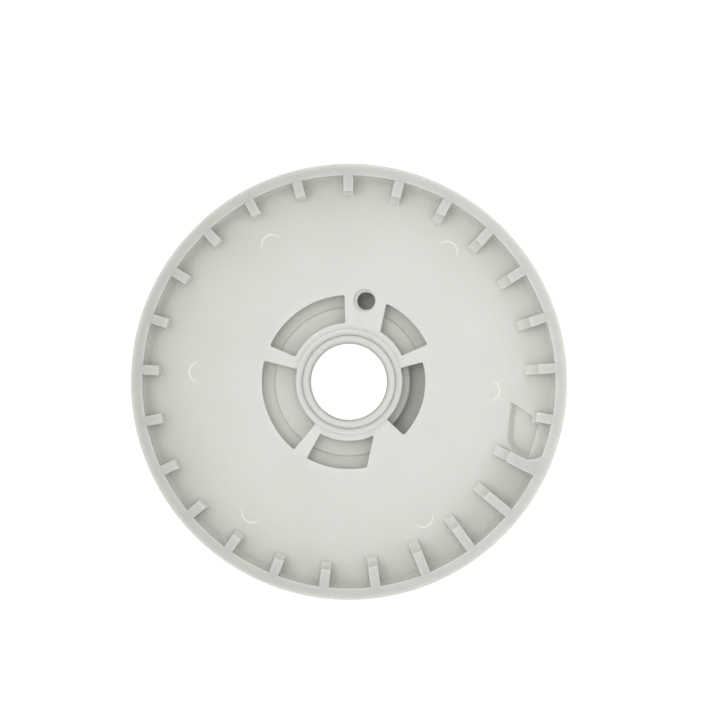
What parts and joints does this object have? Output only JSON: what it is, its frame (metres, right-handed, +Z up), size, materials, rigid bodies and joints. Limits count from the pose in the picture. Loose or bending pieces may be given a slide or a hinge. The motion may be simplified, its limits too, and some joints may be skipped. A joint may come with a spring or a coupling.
{
  "type": "film developing reel",
  "caption": "White nylon film developing reel: ribbed flanges with spiral film grooves on a telescoping core that widens and twists to draw the film in.",
  "frame": {"origin": "centre of the lower rim's face, which the reel stands on", "axes": "+Z up the reel's axis, from the lower flange to the upper; +X towards the side near the D-shaped pockets"},
  "size_m": [0.095, 0.095, 0.0614],
  "materials": {
    "flange_nylon": "moulded natural nylon, satin",
    "core_nylon": "moulded natural nylon, smooth",
    "ball_steel": "polished stainless steel"
  },
  "bodies": {
    "lower_half": {"lower_flange": "flange_nylon", "core_tube": "core_nylon", "lower_drum": "core_nylon"},
    "collar": {"width_collar": "core_nylon"},
    "upper_half": {"upper_flange": "flange_nylon", "guide_sleeve": "core_nylon", "upper_drum": "core_nylon"},
    "upper_ball": {"upper_film_ball": "ball_steel"},
    "lower_ball": {"lower_film_ball": "ball_steel"}
  },
  "joints": [
    {"name": "width_slide", "type": "slide", "parent": "lower_half", "child": "collar", "axis": [0, 0, 1], "range_m": [0, 0.0265]},
    {"name": "flange_twist", "type": "hinge", "parent": "collar", "child": "upper_half", "pos_m": [0, 0, 0.0484], "axis": [0, 0, 1], "range_deg": [-20, 20]},
    {"name": "upper_ball_roll", "type": "slide", "parent": "upper_half", "child": "upper_ball", "axis": [0.309, 0.9511, 0], "range_m": [-0.0014, 0.0014]},
    {"name": "lower_ball_roll", "type": "slide", "parent": "lower_half", "child": "lower_ball", "axis": [0.309, 0.9511, 0], "range_m": [-0.0014, 0.0014]}
  ]
}
